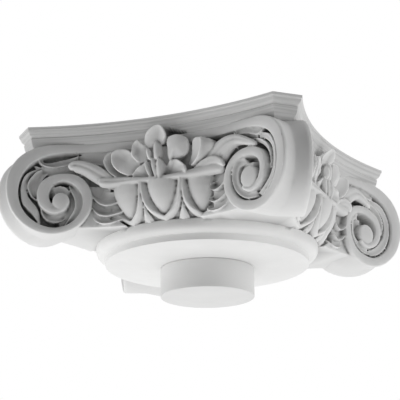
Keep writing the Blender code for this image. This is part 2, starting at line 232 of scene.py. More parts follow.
def backBlock():
    face = hollowFace
    reach = face["blockReach"]
    outline = cornerOutline(facePlan(-reach, reach, face["ground"], face["blockSteps"]))
    return scaled(loft([level(outline, z) for z in (face["blockBase"], face["blockTop"])]))


# volutes

volute = {
    "eye": (101, 75),
    "bandRound": 0.5,
    "straightSteps": 24,
    "turnSteps": 190,
    "leastRadius": 0.2,
    "bandTop": 134,
    "bandLow": 125.3,
    "edgeRound": 0.8,
    "footLip": 4,
    "footDeepens": (5.6, 12),  # the turn where the outer wall starts to deepen, and how fast
    "middleLift": 5.6,  # near the flower the band stands out in front of the abacus
    "middleTilt": 4.6,  # and leans back towards its lower edge
    "liftEnd": 74,
    "liftDrop": 0.29,
    "wallDraft": 1.6,
    "riseEase": 1.3,
    "eyeProfile": ((1, -0.6), (0.93, 0.3), (0.6, 1), (0.2, 1.3)),  # radius share, height
    "eyeSides": 40,
    "bodyTurn": 7.3,
    "bodySteps": 110,
    "bodyReach": 18,
    "bodyShares": (0.3, 0.6, 0.92),
    "cheekHollow": 6.5,
    "cheekEase": 1.25,
    "cheekLip": 0.08,
    "cheekSteps": 13,
    "cheekStep": 1.5,
    "stepDepths": (-0.6, -3, -3.4),
    # outer edge of the band from the eye, at each eighth of a turn from the top
    "outerTurn": (58.5, 59.6, 50, 39, 32, 30.5, 31.5),
}

leftScroll = {
    "innerTurn": (31.8, 28, 26.2, 21, 15.6, 11.8, 10.2),
    "bandWidth": (9, 13.2, 11, 8.6, 6.6, 7.4, 8.8, 10.2, 7.8, 12.2, 11.7, 8.6, 4.8, 3.2),
    "start": 10,  # where the band leaves the flower
    "rise": 4.5,  # the inner turns stand out by this much
    "eyeRadius": 8.3,
    "eyeShift": (-1.4, -0.4),
}

rightScroll = {
    "innerTurn": (32.5, 30.2, 28.2, 22.6, 17, 13.6, 11.8),
    "bandWidth": (9, 13, 12.6, 10.2, 10, 8.9, 8.7, 7.4, 8.2, 8.8, 8.6, 6.4, 4, 2.4),
    "start": 20,
    "rise": 1.4,
    "eyeRadius": 10.3,
    "eyeShift": (1, 0.4),
}


def readTable(values, samples=24):
    rows = [(value,) for value in values]
    dense = spline(rows, 1 + samples * (len(rows) - 1))[:, 0]
    return lambda turn: np.interp(turn, np.linspace(0, len(rows) - 1, len(dense)), dense)


def voluteSpot(turn, radius):
    angle = np.asarray(turn) * pi / 4
    return volute["eye"][0] + radius * np.sin(angle), volute["eye"][1] + radius * np.cos(angle)


def band(scroll):
    v = volute
    low = -hollowFace["footing"]
    edge = v["edgeRound"]
    radiusAt = readTable(v["outerTurn"] + scroll["innerTurn"])
    widthAt = readTable(scroll["bandWidth"])
    rings = []
    for u in np.linspace(scroll["start"], v["eye"][0], v["straightSteps"])[:-1]:
        nearFlower = max(0, 1 - (u / v["liftEnd"]) ** 2)
        lift = v["middleLift"] * nearFlower
        lowLift = lift - v["middleTilt"] * nearFlower
        top, bottom = v["bandTop"] - v["liftDrop"] * lift, v["bandLow"] - v["liftDrop"] * lowLift
        rings.append([(u, top, low), (u, top, lift - edge), (u, top - edge, lift),
                      (u, (top + bottom) / 2, (lift + lowLift) / 2 + v["bandRound"]),
                      (u, bottom + edge, lowLift), (u, bottom, lowLift - edge),
                      (u, bottom - v["wallDraft"], low)])
    last = len(scroll["bandWidth"]) - 1
    deepenFrom, deepenBy = v["footDeepens"]
    for turn in np.linspace(0, last, v["turnSteps"]):
        width = widthAt(turn)
        rise = scroll["rise"] * (turn / last) ** v["riseEase"]
        foot = max(low, -v["footLip"] - deepenBy * max(turn - deepenFrom, 0))
        offsets = (0, 0, edge, width / 2, width - edge, width, width + v["wallDraft"])
        heights = (foot, rise - edge, rise, rise + v["bandRound"], rise, rise - edge, low)
        rings.append([(*voluteSpot(turn, max(radiusAt(turn) - offset, v["leastRadius"])), height)
                      for offset, height in zip(offsets, heights)])
    return loft(rings)


def eyeBoss(scroll):
    radius = scroll["eyeRadius"]
    profile = [(radius, -hollowFace["footing"])]
    profile += [(radius * share, scroll["rise"] + height) for share, height in volute["eyeProfile"]]
    return turned(profile, volute["eyeSides"], np.add(volute["eye"], scroll["eyeShift"]))


def scrollBody():
    v = volute
    turns = np.linspace(0.0, v["bodyTurn"], v["bodySteps"])
    radii = readTable(v["outerTurn"] + leftScroll["innerTurn"])(turns)
    corner = [(v["eye"][0] - v["bodyReach"], v["bandTop"])]
    outline = np.vstack((corner, np.column_stack(voluteSpot(turns, radii))))
    step = np.vstack((corner, np.column_stack(voluteSpot(turns, radii - v["cheekStep"]))))
    eye = np.array(v["eye"])
    levels = [(eye + (outline - eye) * share, -hollowFace["ground"]) for share in v["bodyShares"]]
    levels += list(zip((step, step, outline), v["stepDepths"]))
    faceRings = [onFace((level(flat, w), []))[0] for flat, w in levels]

    def acrossCorner(ring):
        return ring[:, (1, 0, 2)] * (-1, -1, 1)

    front = faceRings[-1]
    inward = np.array((-1, 1, 0)) / sqrt(2)
    lip = v["cheekLip"]
    cheek = []
    for share in np.linspace(lip, 1 - lip, v["cheekSteps"]):
        valley = 1 - abs(2 * share - 1)
        depth = v["cheekHollow"] * (1 - (1 - valley) ** v["cheekEase"]) * mm
        cheek.append((1 - share) * front + share * acrossCorner(front) + inward * depth)
    return loft(faceRings + cheek + [acrossCorner(ring) for ring in reversed(faceRings)])


# blocks under the corners, whose soffits run back to the necking ring

cornerPier = {
    "start": 53,
    "depth": 7,
    "base": 50.3,
    "top": 92,
    "heart": 50,
    "steps": 16,
    "footStart": 37,
    "footTop": 57,
    "footSlope": 10,
}


def pier(start, top, slope=0.0):
    p = cornerPier
    rings = []
    for end, z in ((start, p["base"]), (start + slope, top)):
        front = facePlan(end, volute["eye"][0], p["depth"], p["steps"])
        beyond = [(-y, -x) for x, y in reversed(front)]
        rings.append(level(np.array(front + beyond + [(p["heart"], -p["heart"])]), z))
    return scaled(loft(rings))


# leaves and fronds of half a face, as edge curves and spines of u, z, w

lobeForm = {
    "fullDish": 8,  # a narrower lobe is dished less
    "lipWidth": 1.5,
}


def lobe(edge, back, dish=0.0, lip=0.0, tuck=0.0, samples=40, across=13):
    # a solid between two edge curves of u, z, w: dished between them, with a lip along the first
    low = -hollowFace["footing"]
    share = np.linspace(0, 1, across)[:, None]
    rings = []
    for start, end in zip(spline(edge, samples), spline(back, samples)):
        width = np.hypot(*(end - start)[:2])
        top = start * (1 - share) + end * share
        top[:, 2] -= min(1, width / lobeForm["fullDish"]) * dish * np.sin(pi * share[:, 0])
        top[:, 2] += lip * np.exp(-(share[:, 0] * width / lobeForm["lipWidth"]) ** 2)
        foot = end + (start - end) * tuck
        rings.append(np.vstack((top, (*foot[:2], low), (*start[:2], low))))
    return loft(rings)


leftFronds = {
    "outer frond": dict(dish=-0.6, lip=0.5, edge=(
        (122, 110.5, -7), (132.2, 104.5, -4), (136.8, 97.2, -3), (138.4, 89, -2.6), (138.2, 80.9, -2.4),
        (136.6, 73.9, -2.4), (133, 69, -2.6), (127.2, 63.1, -3.2), (120.4, 53.8, -5)), back=(
        (119.5, 108, -8), (127, 104.5, -6.5), (131.2, 99, -6), (133.2, 90.5, -5.6), (131.6, 82.5, -5),
        (128.3, 77, -4.8), (123.4, 71.2, -5), (120.4, 64.6, -5.6), (118.8, 55, -8))),
    "inner frond": dict(dish=3, lip=1.2, edge=(
        (119, 109, -5), (123.4, 106.4, -3.6), (127.6, 101.6, -3), (131.2, 96.2, -2.6),
        (132.2, 90.8, -2.4), (131, 86, -2.6), (128.2, 81.2, -3.2), (124, 78, -4.5)), back=(
        (112, 105, -6), (114.5, 103, -5), (117.5, 98.5, -4.5), (119.6, 93, -4.5), (120.6, 88, -4.5),
        (121, 84, -5), (121, 80, -5.5), (119.5, 77, -6))),
    "foot frond": dict(dish=2.4, lip=1.1, edge=(
        (119.2, 69.5, -5), (118.6, 65, -3.8), (116.6, 60.4, -3), (113.4, 57.2, -2.8), (108.8, 55.3, -2.8),
        (104, 55, -3.2), (98.5, 57, -5), (94.6, 60.6, -6)), back=(
        (117.5, 72.5, -6), (114.8, 68.5, -5), (112, 66.2, -4.6), (109, 64.8, -4.4), (105.2, 63.6, -4.4),
        (101.2, 63.4, -4.6), (97.4, 64.4, -5), (94, 66, -6))),
    "tongue": dict(dish=3.2, lip=1.1, edge=(
        (92.6, 91.5, -4), (90, 85, -0.8), (87.2, 78.8, 0), (86.2, 72.7, 0), (87.2, 66.4, -0.4),
        (90.8, 60.5, -1.6), (96.4, 52.6, -6)), back=(
        (91, 96.5, -5), (84, 89.6, -2), (79, 81, -1.6), (78, 72.6, -1.6), (80, 64.4, -1.8),
        (84.4, 58.2, -2.6), (91.4, 50, -6))),
    "eye ledge": dict(dish=0.6, lip=0.5, edge=(
        (111, 82.5, -8), (108, 88.4, -3.6), (102, 91.6, -2.4), (95.8, 90.2, -2.4), (92.4, 86.8, -3.4),
        (91, 83, -8)), back=(
        (107, 78, -6), (105, 82.2, -3.2), (101.6, 83.6, -2.6), (97.2, 83.2, -2.6), (94.6, 81, -3.4),
        (93.6, 78, -6))),
    "upper leaf": dict(dish=1.6, lip=1.4, edge=(
        (56, 112, -7), (70, 113.5, -5.6), (84, 114.2, -4.6), (94, 112.8, -3.2), (102, 110.9, -2.2),
        (109, 110.1, -1.6), (115.6, 111.4, -1.4), (120.2, 114, -1.4), (121.8, 117.2, -2),
        (119.6, 119.8, -5)), back=(
        (56, 124.4, -4), (70, 124.2, -4), (84, 122.8, -5), (94, 120.4, -6), (101, 118.8, -6),
        (106, 117.4, -6), (110.5, 116.6, -6.5), (114, 116.4, -7), (116.5, 117, -7.4),
        (117.5, 118, -8))),
    "upper web": dict(dish=0.8, edge=(
        (126, 113.5, -6.5), (117, 110.8, -5.4), (109, 109.4, -4.8), (101, 110.2, -4.8), (92, 112.6, -5.4),
        (80, 114, -6)), back=(
        (121, 104, -8), (114, 103.4, -8), (106, 102.6, -8), (98, 102.4, -8), (90, 101.6, -8),
        (78, 104, -8))),
}

rightFronds = {
    "outer frond": dict(dish=0.5, lip=0.5, edge=(
        (116, 116.5, -4), (128, 111, -2.2), (135.6, 99.6, -1.6), (137.8, 87, -1.4), (136.4, 76, -1.4),
        (131, 65, -1.6), (122, 57.2, -2.4), (113.5, 54.5, -5)), back=(
        (112, 113.2, -4), (122, 107.9, -3.2), (129.4, 100.6, -3), (132.4, 90.6, -2.8), (131.4, 80, -2.8),
        (126, 71, -3), (117.6, 63.6, -3.2), (109, 59.5, -5))),
    "inner frond": dict(dish=0.5, lip=0.9, edge=(
        (104, 113.2, -4), (112.4, 111.2, -2.4), (120.8, 106.6, -2), (127.2, 99.4, -1.8), (130, 89, -2),
        (128.4, 79.4, -3)), back=(
        (102, 109.6, -5), (110.4, 107.8, -4.4), (118, 103.2, -4.4), (123.2, 97, -4.6), (126, 88.4, -5),
        (125.4, 79.8, -6))),
    "tongue": dict(dish=1, lip=1.2, edge=(
        (94, 95.4, -4), (86.6, 95, -1.6), (81.8, 89.2, -1), (79.9, 81.8, -0.8), (80.4, 73.8, -0.8),
        (83.3, 67.2, -0.8), (88, 61.4, -1), (95.4, 56.4, -1.2), (103, 54.8, -1.6),
        (110, 55.2, -3)), back=(
        (96, 91, -5), (88.8, 89.5, -3.4), (86.2, 84.2, -2.8), (85.9, 78.3, -2.6), (86.8, 73.5, -2.6),
        (89.6, 69.5, -2.6), (93.6, 65.6, -2.6), (98.4, 62.8, -2.6), (103.2, 61.2, -3),
        (107.6, 60.6, -4))),
    "upper leaf": dict(dish=0.8, lip=0.8, edge=(
        (80, 121.4, -3.4), (90, 120.8, -2.8), (98, 119.4, -2.4), (105, 116.8, -2), (111, 114.8, -1.8),
        (115, 115.6, -2), (117.2, 118.4, -3)), back=(
        (80, 124.6, -3), (90, 124.4, -3), (98, 124.2, -3), (105, 123.8, -3.2), (110.6, 123, -3.6),
        (114.6, 121.8, -4.4), (116.6, 120.6, -6))),
    "upper web": dict(dish=0.6, edge=(
        (70, 123, -4), (84, 121.6, -4), (94, 119.8, -4), (102, 117.4, -4), (110, 114, -4)), back=(
        (72, 116, -6), (84, 116, -6), (94, 113, -6), (101, 109.8, -6), (108, 107.6, -6))),
}

leftSprays = {
    "curling leaf": dict(cup=-0.12, tilt=0.16, groove=0.9, end=0.10, rows=(
        (46, 91, -4, 5, 13), (57, 96.5, -0.5, 7.2, 13), (66, 102.4, 1.4, 7.8, 12),
        (75, 107.2, 2.6, 6.8, 11.5), (83, 109.4, 3.4, 5.8, 10), (88.5, 109.2, 3.8, 4.6, 9),
        (91, 106.4, 3.4, 3, 8))),
    "garland": dict(cup=-0.12, groove=0.9, start=0, end=0.12, rows=(
        (0, 89, 8.8, 2.2, 12), (18, 89.8, 7.8, 2.8, 12), (34, 91.4, 4.8, 4.2, 12), (48, 91.8, 2.4, 5, 12),
        (57, 92.4, 1.8, 4.8, 12), (63, 93, 1.2, 3.4, 11))),
}

rightSprays = {
    "long leaf": dict(cup=-0.12, tilt=0.10, groove=0.8, end=0.16, rows=(
        (50, 93, -5, 6, 13), (58, 100.5, -1.5, 9.5, 13), (67, 107.5, 0.5, 10.2, 12),
        (77, 113, 1.2, 8, 11.5), (87, 114.8, 1, 5.6, 10), (96, 112.4, 0.4, 4.2, 9),
        (105, 108.6, -0.8, 3, 7), (111, 105.6, -2, 2.2, 5))),
    "small curl": dict(cup=0.15, tilt=0.2, groove=0.3, end=0.2, rows=(
        (40, 92, 2, 3.6, 10), (50, 97.2, 3, 4.2, 9), (60, 99.4, 3.2, 4.4, 9), (68, 97.6, 3, 3.6, 8),
        (72.5, 92.6, 2.6, 2.4, 7))),
    "garland": dict(cup=-0.15, start=0, end=0.12, rows=(
        (0, 89, 8.8, 2.2, 12), (18, 89.2, 8, 2.6, 12), (34, 90.4, 5, 3.8, 12), (48, 91.8, 2, 4.8, 12),
        (60, 92.2, 0.4, 5.2, 12), (70, 91.6, -1, 4.6, 10))),
}


# leaf tips that hang one over the other between the volute and the eggs

leftTips = (
    dict(dish=2.6, lip=1, edge=(
        (70.5, 82.5, -5), (67.4, 76.8, -1.4), (62.4, 72.4, 0.2), (56.5, 70, 0.4), (51, 70.8, -0.8),
        (43, 73.5, -3)), back=(
        (71, 92, -12), (68, 89, -11), (63, 86.5, -9), (57, 85.5, -6.5), (51, 85, -5.5),
        (44, 85, -5))),
    dict(dish=2.6, lip=1, edge=(
        (70.5, 70.5, -6), (67.5, 65.2, -2.4), (62, 61, -0.8), (55, 59.8, -0.6), (49, 61, -1.6),
        (41, 63.5, -4)), back=(
        (69.5, 80, -13), (66.5, 76, -12), (62, 72, -10.5), (56, 69.6, -8), (50, 70.2, -7),
        (42, 73.6, -6))),
    dict(dish=1.8, lip=0.8, edge=(
        (69, 60, -7), (65.5, 55.6, -4.2), (60.2, 53, -2.8), (54, 52.8, -2.8), (48, 54.4, -3.8),
        (41, 57, -6)), back=(
        (69, 68, -14), (65.5, 64.6, -13), (60.5, 61, -11.5), (54, 59.8, -9), (48, 60.8, -8),
        (42, 64, -7))),
)

rightTips = (
    dict(dish=2.4, lip=1.1, edge=(
        (73, 86, -4), (70.8, 79.6, -0.8), (66.4, 74.2, 0.4), (60.4, 71.4, 0.6), (55.2, 72.2, 0),
        (52.4, 76, -0.6), (53.6, 80.4, -1.4), (57, 81.6, -2.6)), back=(
        (72, 93, -12), (69.4, 89, -11), (65.4, 85.4, -10), (61.4, 82.6, -9), (58.6, 81.6, -8),
        (57.4, 81.8, -7), (57.6, 82.4, -6.5), (58.6, 83, -6.5))),
    dict(dish=2.4, lip=1, edge=(
        (73, 74, -6), (70.4, 68, -2.2), (65.4, 63.2, -0.8), (59, 60.8, -0.6), (53.4, 61.6, -1.2),
        (50.4, 64.6, -1.8), (51.4, 67.6, -2.6)), back=(
        (72, 82, -13), (69.6, 77.6, -12), (65.4, 73.4, -11), (60.4, 70.4, -10.5), (56.4, 69.2, -10),
        (54.4, 69.2, -9.5), (53.8, 69.8, -9))),
    dict(dish=1.8, lip=0.8, edge=(
        (70, 61, -7), (66.4, 56.4, -4.2), (61, 53.4, -2.8), (54.6, 52.8, -2.8), (49.4, 54.2, -3.8),
        (45, 57.5, -6.5)), back=(
        (70, 69, -14), (66.4, 65.2, -13), (61, 61.6, -12.5), (54.6, 60, -12.5), (49.2, 60.8, -12),
        (45, 64, -13))),
)


# the round echinus: eggs in shells with darts between

echinus = {
    # height and radius of the bulging profile that the shells' lips follow
    "heights": (40, 50, 54, 58, 64, 70, 78, 86, 94),
    "radii": (108, 112.5, 117.5, 121.5, 125.5, 128, 130, 130.8, 131),
    "scale": 130,
    "turn": 1.9,
    "drumLevels": (42, 91, 20),  # from, to and how many
    "shellDepth": 8,
    "root": 5,
    "pitch": 18.6,
    "eggTop": 88,
    "eggTip": 51.6,
    "eggHalf": 15.6,
    "eggCrown": 1.2,
    "eggSink": 1,
    "eggShares": (0, 0.985, 44),  # rings from top to tip
    "eggSteps": 27,
    "blunt": 0.995,
    "eggPoint": (2, 1.05),
    "eggRound": 0.75,
    "eggFullness": 0.7,
    "shellHalf": 21.1,
    "shellTip": 50.2,
    "shellPoint": (4.6, 0.86),
    "rows": 48,  # along each side of a shell, closer towards the tip
    "rowEase": 1.6,
    "lip": 1.8,
    "lipGrowth": 2.6,
    "crest": 0.7,  # place of the lip's highest line, as a share of its width
    "lipDrop": (0.5, 2.2),
    "lipHeights": (-1.2, -0.35, 0.1, -0.7, -3.6),
    "lipRises": (0.15, 0.4, 0.8, 1.5),
    "lipBlend": 0.4,
    "grooveGap": 0.4,
    "grooveLift": 1,
    "grooveDepth": 7.5,
    # height, half width and how far it stands out
    "dart": ((67, 0.6, -4.5), (63, 1.2, -3), (60, 2.2, -2), (57, 3.8, -1.6), (54, 5.4, -1.4),
             (50.6, 7.2, -1.4)),
    "dartRidge": 0.25,
    "dartSide": 2.4,
    "hiddenShare": 0.58,  # the outer shells have no lip beside the hanging tips
    "sides": 180,
}


def echinusRadius(z):
    return np.interp(z, echinus["heights"], echinus["radii"])


def onEchinus(shape):
    points, faces = shape
    s, z, h = points.T
    angle = s / echinus["scale"] + radians(echinus["turn"])
    radius = echinusRadius(z) + h
    return mm * np.column_stack((radius * np.sin(angle), -radius * np.cos(angle), z)), faces


def drum():
    e = echinus
    heights = np.linspace(*e["drumLevels"])
    return scaled(turned([(echinusRadius(z) - e["shellDepth"], z) for z in heights], e["sides"]))


def taper(share, half, point):
    return half * (1 - np.minimum(share, echinus["blunt"]) ** point[0]) ** point[1]


def egg(offset):
    e = echinus
    sunk = e["shellDepth"] + e["eggSink"]
    floor = -sunk - e["root"]
    angles = np.linspace(0, pi, e["eggSteps"])
    rings = []
    for share in np.linspace(*e["eggShares"]):
        z = e["eggTop"] - (e["eggTop"] - e["eggTip"]) * share
        half = taper(share, e["eggHalf"], e["eggPoint"])
        fullness = (half / e["eggHalf"]) ** e["eggFullness"]
        height = -sunk + (sunk + e["eggCrown"]) * np.sin(angles) ** e["eggRound"] * fullness
        front = np.column_stack((offset - half * np.cos(angles), np.full(len(angles), z), height))
        rings.append(np.vstack((front, ((offset + half, z, floor), (offset - half, z, floor)))))
    return loft(rings)


def shell(offset, leftStart=0.0, rightStart=0.0):
    e = echinus
    rings = []
    shares = 1 - np.linspace(1, 0, e["rows"]) ** e["rowEase"]
    floor = -e["shellDepth"] - e["root"]
    wall, shoulder, crown, inside, slope = e["lipHeights"]
    shoulderRise, crownRise, insideRise, grooveRise = e["lipRises"]
    blend = e["lipBlend"]
    left = [(-1, share) for share in shares if share >= leftStart]
    right = [(1, share) for share in shares[-2::-1] if share >= rightStart]
    for side, share in left + right:
        z = e["eggTop"] - (e["eggTop"] - e["shellTip"]) * share
        half = taper(share, e["shellHalf"], e["shellPoint"])
        width = e["lip"] + e["lipGrowth"] * share
        crest, inner = max(half - width * e["crest"], 0), max(half - width, 0)
        groove = min(taper(share, e["eggHalf"] + e["grooveGap"], e["eggPoint"]), inner)
        rise = width * share ** 2
        drop = e["lipDrop"][0] + e["lipDrop"][1] * share
        grooveTop = z + rise * grooveRise + e["grooveLift"]
        rings.append([(offset + side * across, height, out) for across, height, out in (
            (half, z, floor), (half, z, wall - drop),
            (half * (1 - blend) + crest * blend, z + rise * shoulderRise, drop * shoulder),
            (crest, z + rise * crownRise, crown), (inner, z + rise * insideRise, inside),
            (inner * (1 - blend) + groove * blend, z + rise, slope),
            (groove, grooveTop, -e["grooveDepth"]), (groove, grooveTop, floor))])
    return loft(rings)


def dart(offset):
    e = echinus
    floor = -e["shellDepth"] - e["root"]
    rings = []
    for z, half, out in e["dart"]:
        ridge, side = half * e["dartRidge"], out - e["dartSide"]
        rings.append([(offset + across, z, height) for across, height in (
            (-half, floor), (-half, side), (-ridge, out), (ridge, out), (half, side), (half, floor))])
    return loft(rings)


# flower in the middle of each face

petalForm = {
    "face": (0.04, 0.2, 0.35, 0.5, 0.65, 0.78, 0.88, 0.95),  # shares from the root to the edge
    "rim": ((0.985, 0.25), (1, 1.2)),  # share and depth below the edge
    "rimFoot": (0.99, 0.75),  # share, and depth as a share of the thickness
    "under": (0.94, 0.8, 0.6, 0.4, 0.2, 0.04),
}


def petal(root, edge, bowl=1.6, thick=4.0, ripple=0.0, waves=5, samples=64):
    # a cupped petal from its root to the closed edge curve of u, z, w
    edge = np.array(edge, dtype=float)
    closed = np.vstack((edge[-2:], edge, edge[:3]))
    path = spline(closed, 1 + samples * (len(closed) - 1) // len(edge))
    steps = len(path) / (len(closed) - 1)
    path = path[int(2 * steps):int(2 * steps) + samples]
    root = np.array(root, dtype=float)
    wave = ripple * np.cos(np.linspace(0, 2 * pi * waves, len(path)))

    def at(share, down):
        ring = root + (path - root) * share
        ring[:, 2] = root[2] + (path[:, 2] - root[2]) * share ** bowl + wave * share ** 2 - down
        return ring

    f = petalForm
    rim = [at(share, depth) for share, depth in f["rim"]] + [at(f["rimFoot"][0], thick * f["rimFoot"][1])]
    return loft([at(share, 0) for share in f["face"]] + rim + [at(share, thick) for share in f["under"]])


flower = {
    "bed": dict(root=(0, 110, -1), bowl=2, thick=12, edge=(
        (-46, 108, -2.5), (-34, 120, -2.5), (-12, 125.5, -2.5), (12, 125.5, -2.5), (34, 122, -2.5),
        (44, 112, -2.5), (36, 98, -2.5), (14, 93, -2.5), (-14, 93, -2.5), (-38, 97, -2.5))),
    "top petal": dict(root=(1, 126, 13), bowl=1.5, thick=4.5, ripple=0.25, waves=3, edge=(
        (-11, 121.8, 9), (-12.6, 126, 12), (-11.6, 130.8, 15), (-8.7, 134.8, 17.5), (-3.3, 138.4, 19.5),
        (2.9, 140.4, 20.5), (8.1, 140, 20.5), (11.9, 135.4, 19.5), (13, 130.6, 17.5), (10.2, 126.4, 14.5),
        (5.8, 123.2, 11))),
    "left petal": dict(root=(-18, 117, 10.5), bowl=1.4, thick=4.5, ripple=0.35, waves=5, edge=(
        (-25.6, 119.1, 16), (-23.6, 125.4, 17), (-18.9, 128.8, 17), (-15.6, 125.6, 15),
        (-12.4, 123.7, 12.5), (-9.6, 119.2, 10), (-10.5, 110.3, 8), (-17.5, 107.6, 10),
        (-22.3, 110.1, 13), (-25.4, 114.2, 14.8))),
    "far left petal": dict(root=(-32, 108.5, 10.5), bowl=1.6, thick=4.5, ripple=0.3, waves=5, edge=(
        (-46, 118.4, 16.5), (-47.4, 110.7, 16), (-44.9, 104.1, 14), (-38.7, 99, 11.5), (-29, 96, 9),
        (-18.4, 99.4, 7), (-18.9, 108.1, 9.5), (-25, 113.5, 13), (-28.1, 119.2, 15),
        (-37.3, 121.4, 16.5))),
    "left sepal": dict(root=(-38, 106, -3), bowl=2.2, thick=4, edge=(
        (-40, 119, 7), (-48.2, 120.9, 12.5), (-53, 117.5, 15), (-55.6, 112.2, 16), (-55.1, 107, 15.5),
        (-51.9, 101.4, 13), (-46.4, 97, 10), (-38.7, 94.6, 7), (-30, 98, 3), (-31, 108, 3))),
    "right petal": dict(root=(24, 118.5, 17.2), bowl=1.9, thick=5, ripple=0.4, waves=5, edge=(
        (13.4, 123.1, 14.5), (15.7, 127.9, 15.5), (22.5, 129, 16), (29.2, 128, 15.5), (34.4, 125, 13.5),
        (36.2, 119.9, 12), (35.2, 114.4, 11), (32, 109.6, 10.5), (26.4, 107.2, 11), (20.7, 106.2, 11.5),
        (15.9, 104.1, 12), (13.4, 110.5, 13), (13.6, 116.8, 13.8))),
    "right petal stem": dict(root=(21, 114, 0), bowl=1, thick=12, edge=(
        (13, 112, 8), (15, 119, 10), (20, 122, 11), (26, 121, 11), (29, 116, 9), (26, 111, 8),
        (20, 107, 8), (15, 106, 8))),
    "lower right petal": dict(root=(14, 95, 8), bowl=1.3, thick=5, ripple=0.9, waves=5, edge=(
        (9, 98.4, 10), (13.2, 102.9, 12.5), (17.8, 104.6, 14), (22.9, 105, 15), (28.7, 102, 15),
        (33.3, 96.9, 14.5), (33.9, 92.1, 13), (28.8, 88.7, 11), (18.7, 88.1, 10), (9, 89.6, 10))),
    "lower left petal": dict(root=(-12, 95, 8), bowl=1.2, thick=5, ripple=0.5, waves=5, edge=(
        (-26.1, 95.4, 11), (-23, 99.9, 12.2), (-18, 103, 13), (-12.5, 106, 13), (-8.4, 106.6, 12),
        (-6, 98.5, 11), (-4, 90.4, 10), (-12.7, 89.6, 10), (-20.4, 91.6, 10))),
}

farRightRidge = ((38, 97.3, 9), (45.4, 101.1, 11.5), (50.2, 106, 13), (52.9, 112, 14), (54, 117.6, 14.5),
                 (52.5, 122.4, 14))

# two lobes that meet at a ridge
farRightPetal = (
    dict(dish=0.4, lip=0.5, tuck=0.85, edge=farRightRidge, back=(
        (31.2, 101.3, 3), (34.3, 105.3, 4.5), (37.4, 110.7, 6.5), (38.8, 116.8, 8.5), (40.2, 121.8, 10),
        (44.5, 124, 11.5))),
    dict(dish=0.6, lip=0.5, edge=farRightRidge, back=(
        (44.6, 100.2, 5), (50.5, 103.4, 6), (56.4, 107.2, 7), (61.4, 111, 8), (63.5, 115.4, 8.5),
        (59.5, 120.8, 9))),
)

pistil = {
    "bud": dict(cup=-0.9, start=0.25, end=0.35, groove=0.4, rows=(
        (2, 107, 12.5, 3.6, 7), (2.2, 112, 13.5, 4.7, 8), (2, 119, 14, 4.7, 8),
        (1.2, 125.6, 13, 3.7, 7))),
    "tongue": dict(cup=-0.9, start=0.1, end=0.3, rows=(
        (4.6, 88.5, 12, 2.6, 7), (5.6, 94.5, 14, 3.8, 7.5), (5.6, 101, 15, 4.2, 7.5),
        (4.8, 107.4, 14.5, 3.6, 7))),
    "middle strip": dict(cup=-0.7, start=0.1, end=0.25, rows=(
        (1.6, 88.5, 11.5, 1.6, 6), (0, 95, 13.2, 2.4, 6), (-1.6, 102, 14, 2.6, 6),
        (-3, 109.6, 13.6, 2, 5))),
    "small bud": dict(cup=-0.8, start=0.2, end=0.35, rows=(
        (-5.4, 107.6, 13.6, 1.7, 5), (-6.4, 113, 15.6, 2.4, 6), (-7.8, 119.4, 15, 2, 5))),
    "left strip": dict(cup=-0.6, start=0.1, end=0.3, rows=(
        (-4.6, 89.5, 11, 1.2, 5), (-7.6, 95.5, 12.8, 1.7, 5), (-9.6, 101.5, 13.4, 1.8, 5),
        (-10.6, 108.4, 13.4, 1.3, 5))),
}


def buildFlower():
    shapes = [petal(**spec) for spec in flower.values()]
    shapes += [lobe(**spec) for spec in farRightPetal]
    shapes += [leaf(**spec) for spec in pistil.values()]
    return [onFace(shape) for shape in shapes]


# fusing the carving into one soft skin

skin = {
    # voxel size and triangles
    "full": (0.75, 194000),
    "quick": (1.3, 90000),
    "softSteps": 2,
    "softness": 0.5,
    "margin": 0.05,  # kept inside the CAD box
}


def readVertices(mesh, what):
    values = np.empty(len(mesh.vertices) * 3)
    mesh.vertices.foreach_get(what, values)
    return values.reshape(-1, 3)


def runModifiers(piece):
    shaped = piece.evaluated_get(bpy.context.evaluated_depsgraph_get())
    mesh = bpy.data.meshes.new_from_object(shaped)
    piece.modifiers.clear()
    piece.data = mesh


def dropPockets(mesh):
    shape = bmesh.new()
    shape.from_mesh(mesh)
    shape.verts.ensure_lookup_table()
    label = np.full(len(shape.verts), -1)
    sizes = []
    for first in shape.verts:
        if label[first.index] >= 0:
            continue
        label[first.index] = len(sizes)
        queue, size = [first], 0
        while queue:
            vert = queue.pop()
            size += 1
            for edge in vert.link_edges:
                other = edge.other_vert(vert)
                if label[other.index] < 0:
                    label[other.index] = len(sizes)
                    queue.append(other)
        sizes.append(size)
    main = int(np.argmax(sizes))
    bmesh.ops.delete(shape, geom=[v for v in shape.verts if label[v.index] != main], context="VERTS")
    shape.to_mesh(mesh)
    shape.free()
    print("  pockets dropped:", len(sizes) - 1)


def fuse(piece, voxel, triangles):
    melt = piece.modifiers.new("melt", "REMESH")
    melt.mode = "VOXEL"
    melt.voxel_size = voxel * mm
    soften = piece.modifiers.new("soften", "SMOOTH")
    soften.factor = skin["softness"]
    soften.iterations = skin["softSteps"]
    runModifiers(piece)
    dropPockets(piece.data)
    thin = piece.modifiers.new("thin", "DECIMATE")
    thin.ratio = min(1, triangles / (2 * len(piece.data.polygons)))
    thin.use_collapse_triangulate = True
    runModifiers(piece)
    # no point stands outside the CAD box
    low, high = np.array(cadBox)
    margin = skin["margin"] * mm
    points = np.clip(readVertices(piece.data, "co"), low + margin, high - margin)
    piece.data.vertices.foreach_set("co", points.ravel())
    piece.data.update()


def buildHalf(scroll, fronds, tips, sprays):
    shapes = [band(scroll), eyeBoss(scroll)]
    shapes += [lobe(**spec) for spec in (*fronds.values(), *tips)]
    shapes += [leaf(**spec) for spec in sprays.values()]
    return [onFace(shape) for shape in shapes]


